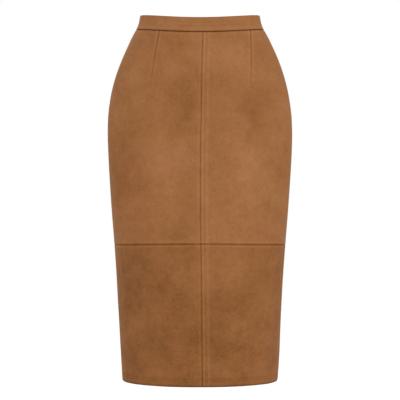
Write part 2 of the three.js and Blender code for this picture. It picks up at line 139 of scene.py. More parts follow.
@dataclass(frozen=True)
class SkirtCut:
    """The cut of the skirt: its level lines and the lines that its seams follow."""

    # drop, half width, front depth, back depth, corner exponent, dip at the centre front
    levels: tuple[tuple[float, ...], ...] = (
        (0, 119.5, 83, 86, 2.05, 12.3),
        (20, 124.0, 85, 88.5, 2.05, 12.3),
        (49, 138.7, 88, 93.5, 2.07, 11.5),
        (97, 159.8, 91, 103, 2.1, 8.5),
        (145, 174.8, 94, 110, 2.12, 5.5),
        (193, 182.6, 96.5, 114, 2.14, 3),
        (229, 184.3, 98, 115, 2.16, 1.4),
        (265, 183.6, 100, 114.7, 2.18, 0),
        (325, 180.4, 103, 113.5, 2.2, -1.8),
        (397, 175.8, 106, 112.5, 2.22, -3.2),
        (457, 171.0, 108, 112, 2.25, -3.6),
        (529, 165.7, 109.5, 112, 2.27, -2.4),
        (601, 161.8, 111, 112, 2.3, -0.6),
        (673, 158.6, 112.5, 112.5, 2.3, 1.2),
        (HEM, 155.2, 113, 113, 2.3, 2.3),
    )
    # drop, centre front seam towards the wearer's left, left and right side seams forwards
    seams: tuple[tuple[float, ...], ...] = (
        (0, 6.3, 0, 0),
        (97, 3.8, 0, 0),
        (193, 2.5, 3, 4),
        (265, 1.2, 12, 16),
        (397, 1.0, 29, 37),
        (457, 1.8, 33, 42),
        (529, 2.9, 33, 43),
        (HEM, 4.8, 31, 41),
    )
    chords: int = 48

    def read(self, rows: tuple[tuple[float, ...], ...], column: int, drop: np.ndarray) -> np.ndarray:
        """A smooth curve through one column of a table: cubic pieces with central slopes.

        Args:
            rows: The table, with drops in its first column.
            column: Which column to read.
            drop: Where to read it.

        Returns:
            The column's value at each drop.
        """
        table = np.array(rows, float)
        knots, values = table[:, 0], table[:, column]
        slopes = np.empty_like(values)
        slopes[1:-1] = (values[2:] - values[:-2]) / (knots[2:] - knots[:-2])
        slopes[0] = (values[1] - values[0]) / (knots[1] - knots[0])
        slopes[-1] = (values[-1] - values[-2]) / (knots[-1] - knots[-2])
        row = np.clip(np.searchsorted(knots, drop) - 1, 0, len(knots) - 2)
        span = knots[row + 1] - knots[row]
        t = np.clip((drop - knots[row]) / span, 0, 1)
        rise = t * t * (3 - 2 * t)
        pull = t * (1 - t) ** 2 * span * slopes[row] + t * t * (t - 1) * span * slopes[row + 1]
        return (1 - rise) * values[row] + rise * values[row + 1] + pull

    def quarter_curve(self, level: np.ndarray, front: np.ndarray) -> tuple[np.ndarray, ...]:
        """Quarters of level sections, |x / half width|^corner + |y / depth|^corner = 1.

        Args:
            level: A flat array of levels.
            front: Whether each is a front quarter.

        Returns:
            x, y and the distance along the curve, each with a row for every level.
        """
        half = self.read(self.levels, 1, level)
        depth = np.where(front, self.read(self.levels, 2, level), self.read(self.levels, 3, level))
        corner = self.read(self.levels, 4, level)[:, None]
        angle = np.linspace(0, math.pi / 2, self.chords + 1)[None, :]
        reach = (np.sin(angle) / half[:, None]) ** corner + (np.cos(angle) / depth[:, None]) ** corner
        radius = reach ** (-1 / corner)
        x, y = radius * np.sin(angle), radius * np.cos(angle)
        along = np.zeros_like(x)
        along[:, 1:] = np.cumsum(np.hypot(np.diff(x, axis=1), np.diff(y, axis=1)), axis=1)
        return x, y, along

    def quarter(self, drop: np.ndarray, front: bool) -> np.ndarray:
        """The length of a quarter of each level line, front or back."""
        drop = np.asarray(drop, float)
        flat = drop.ravel()
        return self.quarter_curve(flat, np.full(flat.shape, front))[2][:, -1].reshape(drop.shape)

    def surface(self, place: np.ndarray, drop: np.ndarray) -> np.ndarray:
        """Points of the outer surface, spaced evenly by arc length round each quarter.

        Args:
            place: Quarters round from the centre front.
            drop: Drops, of the same shape.

        Returns:
            Points in millimetres, with a last axis of three.
        """
        wrapped = (np.mod(place + 2.0, 4.0) - 2.0).ravel()
        away = np.abs(wrapped)
        front = away <= 1
        frontness = np.where(front, np.clip(np.cos(np.minimum(away, 1) * math.pi / 2), 0, 1) ** 1.5, 0)
        flat = drop.ravel()
        level = flat + self.read(self.levels, 5, flat) * frontness
        x, y, along = self.quarter_curve(level, front)
        target = np.where(front, away, 2 - away) * along[:, -1]
        step = np.clip((along < target[:, None]).sum(axis=1), 1, self.chords)
        pick = np.arange(len(flat))
        before = along[pick, step - 1]
        share = (target - before) / (along[pick, step] - before)
        px = x[pick, step - 1] + share * (x[pick, step] - x[pick, step - 1])
        py = y[pick, step - 1] + share * (y[pick, step] - y[pick, step - 1])
        points = np.stack([np.where(wrapped < 0, -px, px), np.where(front, -py, py), -level], -1)
        return points.reshape(*place.shape, 3)

    def outward(self, place: np.ndarray, drop: np.ndarray) -> np.ndarray:
        """The outward direction at points of the surface: down the cloth crossed with along it."""
        down = self.surface(place, np.minimum(drop + 1, HEM)) - self.surface(place, np.maximum(drop - 1, 0))
        along = self.surface(place + 0.01, drop) - self.surface(place - 0.01, drop)
        normal = np.cross(down, along)
        return normal / np.linalg.norm(normal, axis=-1, keepdims=True)

    def centre_front(self, drop: np.ndarray) -> np.ndarray:
        """The place of the centre front seam."""
        return self.read(self.seams, 1, drop) / self.quarter(drop, True)

    def left_side(self, drop: np.ndarray) -> np.ndarray:
        """The place of the wearer's left side seam."""
        return 1 - self.read(self.seams, 2, drop) / self.quarter(drop, True)

    def right_side(self, drop: np.ndarray) -> np.ndarray:
        """The place of the wearer's right side seam."""
        return self.read(self.seams, 3, drop) / self.quarter(drop, True) - 1

    def back_gap(self, drop: np.ndarray) -> np.ndarray:
        """Half the gap at the centre back, wider beside the zip."""
        closing = np.clip((drop - ZIP_END) / ZIP_CLOSES, 0, 1)
        return (ZIP_GAP + (SEAM_GAP - ZIP_GAP) * closing) / 2 / self.quarter(drop, False)

    def beside(self, line: PlaceLine, distance: float) -> PlaceLine:
        """A line at a distance round the skirt from a seam line, positive towards higher places."""
        return lambda drop: line(drop) + distance / self.quarter(drop, True)


@dataclass(frozen=True)
class Fold:
    """A soft ridge, or a trough where its height is negative, with a bow along its length."""

    place: float
    drop: float
    length: float
    width: float
    height: float
    slant: float = 0.0
    bow: float = 0.0

    def raise_by(self, place: np.ndarray, drop: np.ndarray) -> np.ndarray:
        """How far the fold lifts each point: a bell curve along it times one across it."""
        dx = (np.mod(place - self.place + 2, 4) - 2) * MEAN_QUARTER
        dz = drop - self.drop
        turn = math.radians(self.slant)
        along = dz * math.cos(turn) + dx * math.sin(turn)
        across = dx * math.cos(turn) - dz * math.sin(turn) - self.bow * (along / self.length) ** 2
        return self.height * np.exp(-((along / self.length) ** 2) - (across / self.width) ** 2)


@dataclass(frozen=True)
class Hang:
    """How the cloth hangs: its soft folds and the smudges in its nap."""

    folds: tuple[Fold, ...] = (
        Fold(-0.52, 120, 70, 16, -1.3, 14, 6),
        Fold(-0.33, 150, 80, 20, 1.2, 9, -5),
        Fold(0.50, 135, 75, 17, -1.2, -12, -5),
        Fold(0.30, 170, 90, 22, 1.1, -7, 6),
        Fold(-0.72, 250, 90, 18, -1.1, 6, 8),
        Fold(0.74, 265, 95, 19, -1.2, -8, -8),
        Fold(-0.12, 330, 110, 24, 1.0, 4, 7),
        Fold(-0.40, 400, 90, 20, -1.0, -6, -4),
        Fold(0.20, 420, 100, 22, -0.9, 5, 5),
        Fold(0.56, 440, 90, 20, 1.0, 3, -6),
        Fold(-0.60, 560, 95, 19, -1.5, 5, 6),
        Fold(-0.30, 620, 90, 22, 1.2, -4, 5),
        Fold(0.36, 590, 100, 20, -1.2, -3, -7),
        Fold(0.62, 650, 80, 18, 1.2, 4, 4),
        Fold(1.15, 200, 90, 20, -1.3, 8, 5),
        Fold(-1.18, 230, 95, 18, -1.2, -7, -6),
        Fold(1.08, 520, 120, 18, -1.6, 2, 5),
        Fold(-1.10, 560, 120, 20, -1.5, -3, -5),
        Fold(1.52, 150, 70, 18, -1.3, 11, 5),
        Fold(-1.50, 145, 75, 19, -1.4, -12, -6),
        Fold(1.70, 235, 95, 22, 1.2, 16, 7),
        Fold(-1.68, 245, 90, 24, 1.1, -17, -6),
        Fold(1.40, 330, 100, 20, -1.4, 9, 6),
        Fold(-1.38, 350, 95, 22, -1.3, -8, 5),
        Fold(1.62, 430, 90, 22, 1.0, -4, 5),
        Fold(-1.66, 560, 110, 20, -1.3, 4, -6),
        Fold(1.48, 610, 110, 21, -1.5, -3, 6),
        Fold(-1.34, 640, 90, 18, 1.3, 3, 5),
    )
    band_pulls: tuple[Fold, ...] = (
        Fold(-0.30, 19, 55, 2.4, 0.28, 88, 1.5),
        Fold(0.16, 24, 70, 2.2, -0.26, 91, -1.2),
        Fold(0.55, 15, 50, 2.6, 0.26, 86, 1.0),
        Fold(-0.70, 11, 45, 2.2, -0.24, 92, 1.4),
        Fold(1.40, 17, 60, 2.6, 0.26, 90, -1.0),
        Fold(-1.45, 13, 55, 2.4, -0.26, 88, 1.2),
    )
    smudges: tuple[Fold, ...] = (
        Fold(-0.15, 168, 40, 26, -0.10, 20),
        Fold(-0.09, 190, 46, 16, -0.06, -25),
        Fold(0.49, 180, 30, 30, -0.08, -40),
        Fold(0.42, 196, 34, 14, -0.05, 30),
        Fold(-0.62, 330, 60, 40, -0.07, 25),
        Fold(-0.60, 130, 50, 30, 0.05, -20),
        Fold(0.12, 500, 50, 40, 0.06, 0),
        Fold(-0.55, 520, 90, 45, -0.05, 8),
        Fold(-0.3, 640, 120, 70, -0.05, 0),
        Fold(-0.25, 300, 60, 40, 0.09, 12),
        Fold(0.35, 330, 80, 42, 0.09, -10),
        Fold(0.30, 90, 40, 50, 0.10, 0),
        Fold(0.10, 640, 60, 45, -0.08, 5),
        Fold(1.60, 260, 80, 45, -0.12, 12),
        Fold(-1.55, 330, 80, 42, 0.10, -9),
        Fold(1.45, 580, 70, 40, 0.09, 6),
    )

    fold_gain: float = 1.35
    wave_gain: float = 0.5
    pull_gain: float = 0.45
    settles_in: float = 60
    below_knee_nap_and_shade: float = 0.09
    shade_run: float = 12
    base_tone: float = 0.03

    def height(self, place: np.ndarray, drop: np.ndarray) -> np.ndarray:
        """How far the cloth stands off its cut line: the folds, and slow waves between them."""
        lift = sum(fold.raise_by(place, drop) for fold in self.folds)
        waves = np.sin(place * math.pi * 2.5 + drop / 61) * np.sin(drop / 83 + 0.7)
        waves += 0.6 * np.sin(place * math.pi * 4.5 - drop / 47 + 1.3)
        settled = np.clip((drop - BAND_DEPTH) / self.settles_in, 0, 1)
        pulls = sum(fold.raise_by(place, drop) for fold in self.band_pulls)
        in_band = np.where(drop < BAND_DEPTH, self.pull_gain * pulls, 0)
        return settled * (self.fold_gain * lift + self.wave_gain * waves) + in_band

    def tone(self, place: np.ndarray, drop: np.ndarray) -> np.ndarray:
        """How much lighter or darker the colour is: the nap's smudges, and a darkening below the knee seam
        that is partly the lower panels' nap and partly painted shade.
        """
        marks = sum(mark.raise_by(place, drop) for mark in self.smudges)
        # Darker below the knee seam: partly the lower panels' nap, partly painted shade.
        below_knee = np.clip((drop - KNEE_SEAM) / self.shade_run + 0.5, 0, 1)
        return marks - self.below_knee_nap_and_shade * below_knee + self.base_tone


def bell(distance: np.ndarray, centre: float, width: float) -> np.ndarray:
    """A bell curve of a distance, one at its centre."""
    return np.exp(-(((distance - centre) / width) ** 2))


def srgb(red: int, green: int, blue: int) -> tuple[float, float, float, float]:
    """A display colour out of 255 as linear light: powers of 2.4 above a short straight part."""
    parts = [v / 255 for v in (red, green, blue)]
    linear = [p / 12.92 if p <= 0.04045 else ((p + 0.055) / 1.055) ** 2.4 for p in parts]
    return (linear[0], linear[1], linear[2], 1.0)


@dataclass(frozen=True)
class Finish:
    """A material: a colour ramp read by grain and by the piece's tone attribute (the nap's own tone with
    painted shade and painted highlights), with a fine bump.
    """

    name: str
    ramp: tuple[tuple[float, tuple[int, int, int]], ...]
    roughness: float
    cloud: float = 0.0
    speckle: float = 0.0
    warmth: float = 0.0
    grain: float = 0.0
    grain_scale: float = 1500.0
    bump: float = 0.0
    bump_depth: float = 0.0003
    sheen: float = 0.0
    metallic: float = 0.0
    coat: float = 0.0
    weave: float = 0.0

    def make(self) -> bpy.types.Material:
        """Builds the node tree.

        Returns:
            The material.
        """
        material = bpy.data.materials.new(self.name)
        material.use_nodes = True
        nodes, links = material.node_tree.nodes, material.node_tree.links
        shader = nodes["Principled BSDF"]
        shader.inputs["Roughness"].default_value = self.roughness
        shader.inputs["Metallic"].default_value = self.metallic
        shader.inputs["Coat Weight"].default_value = self.coat
        shader.inputs["Specular IOR Level"].default_value = 0.25
        shader.inputs["Sheen Weight"].default_value = self.sheen
        shader.inputs["Sheen Roughness"].default_value = 0.45
        shader.inputs["Sheen Tint"].default_value = srgb(226, 186, 150)
        where = nodes.new("ShaderNodeTexCoord")

        def noise(scale: float, detail: float) -> bpy.types.NodeSocket:
            """A noise field on the piece's own coordinates."""
            field_node = nodes.new("ShaderNodeTexNoise")
            field_node.inputs["Scale"].default_value = scale
            field_node.inputs["Detail"].default_value = detail
            links.new(where.outputs["Object"], field_node.inputs["Vector"])
            return field_node.outputs[0]

        def scaled(value: bpy.types.NodeSocket, times: float, plus: float) -> bpy.types.NodeSocket:
            """A value times a number plus another."""
            node = nodes.new("ShaderNodeMath")
            node.operation = "MULTIPLY_ADD"
            links.new(value, node.inputs[0])
            node.inputs[1].default_value = times
            node.inputs[2].default_value = plus
            return node.outputs[0]

        def added(first: bpy.types.NodeSocket, second: bpy.types.NodeSocket) -> bpy.types.NodeSocket:
            """The sum of two values."""
            node = nodes.new("ShaderNodeMath")
            node.operation = "ADD"
            links.new(first, node.inputs[0])
            links.new(second, node.inputs[1])
            return node.outputs[0]

        # The tone attribute holds the nap's own tone together with painted shade and painted highlights.
        tone = nodes.new("ShaderNodeAttribute")
        tone.attribute_name = "tone"
        fine = noise(self.grain_scale, 2.0)
        value = scaled(tone.outputs["Fac"], 1.0, 0.5)
        value = added(value, scaled(noise(17.0, 3.0), self.cloud, -self.cloud / 2))
        value = added(value, scaled(noise(62.0, 4.0), self.cloud * 0.7, -self.cloud * 0.35))
        value = added(value, scaled(noise(210.0, 3.0), self.speckle, -self.speckle / 2))
        value = added(value, scaled(fine, self.grain, -self.grain / 2))
        height = fine
        if self.weave:
            wave = nodes.new("ShaderNodeTexWave")
            wave.inputs["Scale"].default_value = self.weave
            wave.bands_direction = "Z"
            links.new(where.outputs["Object"], wave.inputs["Vector"])
            height = added(fine, wave.outputs["Fac"])
            value = added(value, scaled(wave.outputs["Fac"], 0.1, -0.05))
        ramp = nodes.new("ShaderNodeValToRGB").color_ramp
        while len(ramp.elements) < len(self.ramp):
            ramp.elements.new(0.5)
        for element, (position, colour) in zip(ramp.elements, self.ramp):
            element.position = position
            element.color = srgb(*colour)
        ramp_node = nodes["Color Ramp"]
        links.new(value, ramp_node.inputs["Fac"])
        colour = ramp_node.outputs["Color"]
        if self.warmth:
            tint = nodes.new("ShaderNodeMixRGB")
            tint.blend_type = "MULTIPLY"
            links.new(scaled(noise(11.0, 2.0), 2.0 * self.warmth, -0.5 * self.warmth), tint.inputs["Fac"])
            links.new(colour, tint.inputs["Color1"])
            tint.inputs["Color2"].default_value = (1.0, 0.9, 1.05, 1.0)
            colour = tint.outputs["Color"]
        links.new(colour, shader.inputs["Base Color"])
        if self.bump:
            bump = nodes.new("ShaderNodeBump")
            bump.inputs["Strength"].default_value = self.bump
            bump.inputs["Distance"].default_value = self.bump_depth
            links.new(height, bump.inputs["Height"])
            links.new(bump.outputs["Normal"], shader.inputs["Normal"])
        return material


# The ramp's darkest and palest ends are reached by painted shade in seams and hems and by painted
# highlights on ridges; its middle is the nap's own colour.
SUEDE = Finish(
    "suede_nap",
    (
        (0.0, (80, 40, 15)), (0.3, (128, 80, 38)), (0.5, (158, 104, 58)), (0.7, (177, 122, 77)),
        (1.0, (198, 144, 100)),
    ),
    roughness=0.95, cloud=0.27, speckle=0.2, grain=0.2, warmth=0.5, bump=0.4, sheen=0.12,
)
REVERSE = Finish(
    "cloth_reverse",
    ((0.0, (96, 62, 40)), (0.5, (150, 108, 76)), (1.0, (178, 140, 108))),
    roughness=0.9, cloud=0.12, grain=0.3, grain_scale=2200.0, bump=0.3, sheen=0.05,
)
THREAD = Finish(
    "matched_thread",
    ((0.0, (92, 54, 28)), (0.5, (168, 116, 72)), (1.0, (194, 142, 100))),
    roughness=0.6, grain=0.3, grain_scale=4000.0, bump=0.3, bump_depth=0.0001, sheen=0.1,
)
TAPE = Finish(
    "tape_weave",
    ((0.0, (84, 52, 28)), (0.5, (134, 90, 54)), (1.0, (168, 124, 84))),
    roughness=0.85, grain=0.25, grain_scale=2500.0, bump=0.5, weave=420.0,
)
LACQUER = Finish(
    "brown_lacquer",
    ((0.0, (70, 42, 22)), (0.5, (128, 82, 48)), (1.0, (170, 122, 84))),
    roughness=0.38, grain=0.12, grain_scale=700.0, bump=0.06, metallic=0.25, coat=0.3,
)


@dataclass
class Workroom:
    """What every sub-assembly shares: the cut, how it hangs, and the finishes."""

    cut: SkirtCut = field(default_factory=SkirtCut)
    hang: Hang = field(default_factory=Hang)
    materials: dict[str, bpy.types.Material] = field(default_factory=dict)

    def finish(self, finish: Finish) -> bpy.types.Material:
        """The material of a finish, made once."""
        if finish.name not in self.materials:
            self.materials[finish.name] = finish.make()
        return self.materials[finish.name]

    def mesh_object(
        self, name: str, points: np.ndarray, faces: np.ndarray, tone: np.ndarray, finishes: list[Finish],
        which: np.ndarray | None = None, body: Body = Body.SKIRT,
    ) -> bpy.types.Object:
        """A mesh piece that rides on a body.

        Args:
            name: The piece's name.
            points: Points in millimetres, a row each.
            faces: Point indices, a row for each face.
            tone: How much lighter or darker the colour is at each point: the nap's own tone, with painted
                shade and painted highlights.
            finishes: The finishes of its material slots.
            which: The slot of each face, or None where there is one.
            body: The body that it rides on.

        Returns:
            The piece.
        """
        mesh = bpy.data.meshes.new(name)
        mesh.from_pydata((points * MM).tolist(), [], faces.tolist())
        mesh.polygons.foreach_set("use_smooth", np.ones(len(faces), bool))
        for one in finishes:
            mesh.materials.append(self.finish(one))
        if which is not None:
            mesh.polygons.foreach_set("material_index", which.astype(np.int32))
        mesh.attributes.new("tone", "FLOAT", "POINT").data.foreach_set("value", tone.astype(np.float32))
        mesh.update()
        made = bpy.data.objects.new(name, mesh)
        bpy.context.scene.collection.objects.link(made)
        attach(made, body.value)
        LOG.info("%s: %d faces", name, len(faces))
        return made

    def wall(
        self, name: str, place: np.ndarray, drop: np.ndarray, outer: np.ndarray, thick: np.ndarray,
        tone: np.ndarray, lined: bool = True,
    ) -> bpy.types.Object:
        """A closed wall of cloth: an outer sheet, an inner one its thickness behind, and a rim.

        Args:
            name: The piece's name.
            place: Places of the points, a row for each drop.
            drop: Drops of the points, of the same shape.
            outer: How far the outer sheet stands off the cut.
            thick: The thickness of the wall.
            tone: How much lighter or darker the colour is: the nap's own tone, with painted shade and
                painted highlights.
            lined: Whether the inside shows the reverse of the cloth, down to the turned hem.

        Returns:
            The piece.
        """
        rows, columns = place.shape
        base, normal = self.cut.surface(place, drop), self.cut.outward(place, drop)
        outside = base + normal * outer[..., None]
        inside = base + normal * (outer - thick)[..., None]
        points = np.concatenate([outside.reshape(-1, 3), inside.reshape(-1, 3)])
        index = np.arange(rows * columns).reshape(rows, columns)
        corners = [index[:-1, :-1], index[1:, :-1], index[1:, 1:], index[:-1, 1:]]
        shown = np.stack(corners, -1).reshape(-1, 4)
        hidden = shown[:, ::-1] + rows * columns
        ring = np.concatenate([index[:-1, 0], index[-1, :-1], index[:0:-1, -1], index[0, :0:-1]])
        after = np.roll(ring, -1)
        rim = np.stack([after, ring, ring + rows * columns, after + rows * columns], -1)
        reverse = (drop[:-1, :-1].ravel() < HEM - HEM_TURN) & lined
        which = np.concatenate([np.zeros(len(shown)), reverse, np.zeros(len(rim))])
        both = np.concatenate([tone.ravel(), tone.ravel() * 0.3])
        faces = np.concatenate([shown, hidden, rim])
        return self.mesh_object(name, points, faces, both, [SUEDE, REVERSE], which)

    def declare(
        self, made: bpy.types.Object, place: np.ndarray, drop: np.ndarray, held: str, rests: list[str],
    ) -> None:
        """Finds the points of a piece's cut surface, and does nothing more with them.

        Args:
            made: The piece; not used.
            place: Places of its points, a row for each drop.
            drop: Their drops.
            held: How the cloth is held; not used.
            rests: The pieces that it hangs from; not used.
        """
        points = self.cut.surface(place, drop)

    def stitches(self, name: str, place: np.ndarray, drop: np.ndarray, offset: float) -> bpy.types.Object:
        """A row of thread stitches, each a small six-sided spindle bedded in the cloth.

        Args:
            name: The row's name.
            place: Places of a close line of points that the row follows.
            drop: Their drops.
            offset: How far off the cloth the thread's middle lies.

        Returns:
            The row, as one mesh.
        """
        lift = self.hang.height(place, drop) + offset
        line = self.cut.surface(place, drop) + self.cut.outward(place, drop) * lift[:, None]
        gone = np.concatenate([[0], np.cumsum(np.linalg.norm(np.diff(line, axis=0), axis=1))])
        starts = np.arange(1.0, gone[-1] - 4.0, STITCH_PITCH)
        at = starts[:, None] + STITCH_ALONG[None, :]
        centre = np.stack([np.interp(at, gone, line[:, axis]) for axis in range(3)], -1)
        ahead = centre[:, -1] - centre[:, 0]
        ahead /= np.linalg.norm(ahead, axis=1, keepdims=True)
        out = centre[:, 2] * np.array([1.0, 1.0, 0.0])
        out -= (out * ahead).sum(1, keepdims=True) * ahead
        out /= np.linalg.norm(out, axis=1, keepdims=True)
        across = np.cross(ahead, out)
        return self.spindles(name, centre, out, across, STITCH_GIRTH, THREAD, Slot.SUEDE)

    def spindles(
        self, name: str, centre: np.ndarray, out: np.ndarray, across: np.ndarray, girth: np.ndarray,
        finish: Finish, slot: Slot,
    ) -> bpy.types.Object:
        """Many small spindles as one mesh: six-sided rings round short lines, closed at both ends.

        Args:
            name: The piece's name.
            centre: The middles of the rings, a row for each spindle.
            out: One direction across each spindle.
            across: The other, so that out crossed with it points along the spindle.
            girth: The rings' radii.
            finish: Its finish.
            slot: The record's material slot; not used.

        Returns:
            The piece.
        """
        turn = np.arange(RING_SIDES) * 2 * math.pi / RING_SIDES
        cosines, sines = np.cos(turn)[None, :, None], np.sin(turn)[None, :, None]
        ring = cosines * out[:, None] + sines * across[:, None]
        points = centre[:, :, None] + ring[:, None] * girth[None, :, None, None]
        index = np.arange(points[..., 0].size).reshape(points.shape[:3])
        after = np.roll(index, -1, axis=2)
        corners = [index[:, :-1], after[:, :-1], after[:, 1:], index[:, 1:]]
        first, last = index[:, 0], index[:, -1]
        faces = [np.stack(corners, -1).reshape(-1, 4)]
        faces += [first[:, half[::-1]] for half in RING_HALVES]
        faces += [last[:, half] for half in RING_HALVES]
        tone = np.zeros(index.size)
        points = points.reshape(-1, 3)
        return self.mesh_object(name, points, np.concatenate(faces), tone, [finish])


def close_rows(top: float, bottom: float, step: float) -> np.ndarray:
    """Drops from one edge to another, close-set near both and evenly spaced between."""
    middle = np.linspace(top + NEAR_SEAM[-1], bottom - NEAR_SEAM[-1], max(int((bottom - top) / step), 2))
    return np.concatenate([top + NEAR_SEAM[:-1], middle, (bottom - NEAR_SEAM[:-1])[::-1]])


def close_columns(cut: SkirtCut, drops: np.ndarray, knots: list[PlaceLine], steps: list[int]) -> np.ndarray:
    """Places between lines, close-set beside each line and evenly spaced between.

    Args:
        cut: The skirt's cut.
        drops: The rows' drops.
        knots: The lines, in order round the skirt.
        steps: How many even places lie between each line and the next.

    Returns:
        A row of places for each drop.
    """
    near = NEAR_SEAM[None, :] / cut.quarter(drops, True)[:, None]
    parts = []
    for k, count in enumerate(steps):
        first, last = knots[k](drops)[:, None], knots[k + 1](drops)[:, None]
        share = np.linspace(0, 1, count)[None, :]
        start, end = first + near[:, -1:], last - near[:, -1:]
        parts.append((first + near)[:, (1 if k else 0):-1])
        parts.append(start + (end - start) * share)
        parts.append((last - near)[:, -2::-1])
    return np.concatenate(parts, axis=1)


class Half(Enum):
    """Front or back of the skirt."""

    FRONT = True
    BACK = False


@dataclass(frozen=True)
class SeamRoll:
    """How a panel's edge rolls in at a seam: how deep, how wide, and how much painted shade falls in it."""

    depth: float
    width: float
    painted_shade: float


UPRIGHT_ROLL = SeamRoll(0.32, 1.1, 0.05)
KNEE_ROLL = SeamRoll(0.6, 1.2, 0.2)
WAIST_ROLL = SeamRoll(0.8, 1.0, 0.75)


@dataclass
class Panel:
    """One panel of the skirt, between two seam lines and from one drop to another."""

    room: Workroom
    node: str
    half: Half
    first: PlaceLine
    last: PlaceLine
    top: float
    bottom: float
    dart: tuple[float, float, float] | None = None
    dart_from: float = 0.0
    dart_sign: int = 1
    lapped: bool = False
    raised_first: bool = False
    hangs_from: str = ""

    def dart_line(self, drop: np.ndarray) -> np.ndarray:
        """The place of the dart: it runs from its top to its tip, then straight down."""
        top_away, tip_away, tip = self.dart
        down = np.clip((drop - BAND_DEPTH) / (tip - BAND_DEPTH), 0, 1)
        level = np.clip(drop, BAND_DEPTH, tip)
        away = top_away + (tip_away - top_away) * down
        return self.dart_from + self.dart_sign * away / self.room.cut.quarter(level, self.half.value)

    def grid(self) -> tuple[np.ndarray, np.ndarray]:
        """The places and drops of the panel's points."""
        drops = close_rows(self.top, self.bottom, ROW_STEP)
        if self.dart:
            knots, steps = [self.first, self.dart_line, self.last], list(DART_STEPS)
        else:
            knots, steps = [self.first, self.last], [PLAIN_STEPS]
        place = close_columns(self.room.cut, drops, knots, steps)
        return place, np.repeat(drops[:, None], place.shape[1], axis=1)

    def build(self) -> bpy.types.Object:
        """Makes the panel: hung cloth whose edges roll in at its seams, creased along its dart.

        Returns:
            The piece.
        """
        cut, hang = self.room.cut, self.room.hang
        place, drop = self.grid()
        quarter = cut.quarter(drop[:, 0], self.half.value)[:, None]
        from_first = (place - place[:, :1]) * quarter
        from_last = (place[:, -1:] - place) * quarter
        outer = hang.height(place, drop)
        tone = hang.tone(place, drop)
        at_hem = self.bottom >= HEM
        top_roll = WAIST_ROLL if self.top < KNEE_SEAM else KNEE_ROLL
        for distance, roll, rolls in (
            (from_first, UPRIGHT_ROLL, not self.raised_first and not self.lapped),
            (from_last, UPRIGHT_ROLL, True),
            (drop - self.top, top_roll, True),
            (self.bottom - drop, KNEE_ROLL, not at_hem),
        ):
            if rolls:
                outer = outer - roll.depth * bell(distance, 0, roll.width)
                # Painted shade in each seam's roll, and a painted highlight on the ridge about 4 mm from
                # it.
                tone = tone - roll.painted_shade * bell(distance, 0, roll.width) + 0.06 * bell(distance, 4.2, 1.8)
        if self.raised_first:
            lap = (1 - np.clip((from_first - 6) / 3, 0, 1)) * np.clip(from_first / 1.2, 0.2, 1)
            outer = outer + 0.55 * lap
            # Painted shade at the lapped edge and in the strike line's groove, and painted highlights on
            # the raised lap and beyond the strike line.
            tone = tone - 0.06 * bell(from_first, 0, 0.7) + 0.12 * bell(from_first, 3.6, 1.8)
            tone = tone - 0.02 * bell(from_first, STRIKE_LINE, 1.3) + 0.09 * bell(from_first, 12.0, 3.0)
        outer = outer + 0.3 * bell(drop, KNEE_SEAM - 4.5, 2.2) + 0.3 * bell(drop, KNEE_SEAM + 4.5, 2.2)
        if self.dart:
            tip = self.dart[2]
            strength = np.sqrt(np.clip((tip - drop) / (tip - BAND_DEPTH), 0, 1))
            away = (place - self.dart_line(drop[:, 0])[:, None]) * quarter
            beside = bell(away, 4.0, 2.0) + bell(away, -4.0, 2.0)
            outer = outer + strength * (0.3 * beside - 0.7 * bell(away, 0, 1.4))
            # Painted shade in the dart's groove and painted highlights on the ridges beside it.
            tone = tone + strength * (0.08 * beside - 0.2 * bell(away, 0, 1.4))
        thick = np.full(place.shape, CLOTH)
        if at_hem:
            turned = np.clip((drop - (HEM - HEM_TURN)) / 0.5 + 1, 0, 1)
            thick = thick + (HEM_LAYERS - CLOTH) * turned
            outer = outer - 0.3 * bell(drop, HEM - HEM_TURN, 1.6) - 0.6 * bell(drop, HEM, 1.4)
            # Painted shade along the hem's turn line and at its bottom edge.
            tone = tone - 0.18 * bell(drop, HEM - HEM_TURN, 1.8) - 0.26 * bell(drop, HEM, 2.8)
        if self.lapped:
            beyond = (place + 2) * cut.quarter(drop[:, 0], False)[:, None]
            share = np.clip((beyond - VENT_EDGE) / (VENT_SLOPE - VENT_EDGE), 0, 1)
            outer = outer - VENT_STEP * (1 - share * share * (3 - 2 * share))
            # Painted shade along the vent's lapped edge.
            tone = tone - 0.2 * bell(beyond, 1.5, 3.0)
        made = self.room.wall(f"{self.node}_cloth", place, drop, outer, thick, tone)
        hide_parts(self.node)
        rests = [self.hangs_from] if self.hangs_from else []
        self.room.declare(made, place, drop, "hung", rests)
        return made


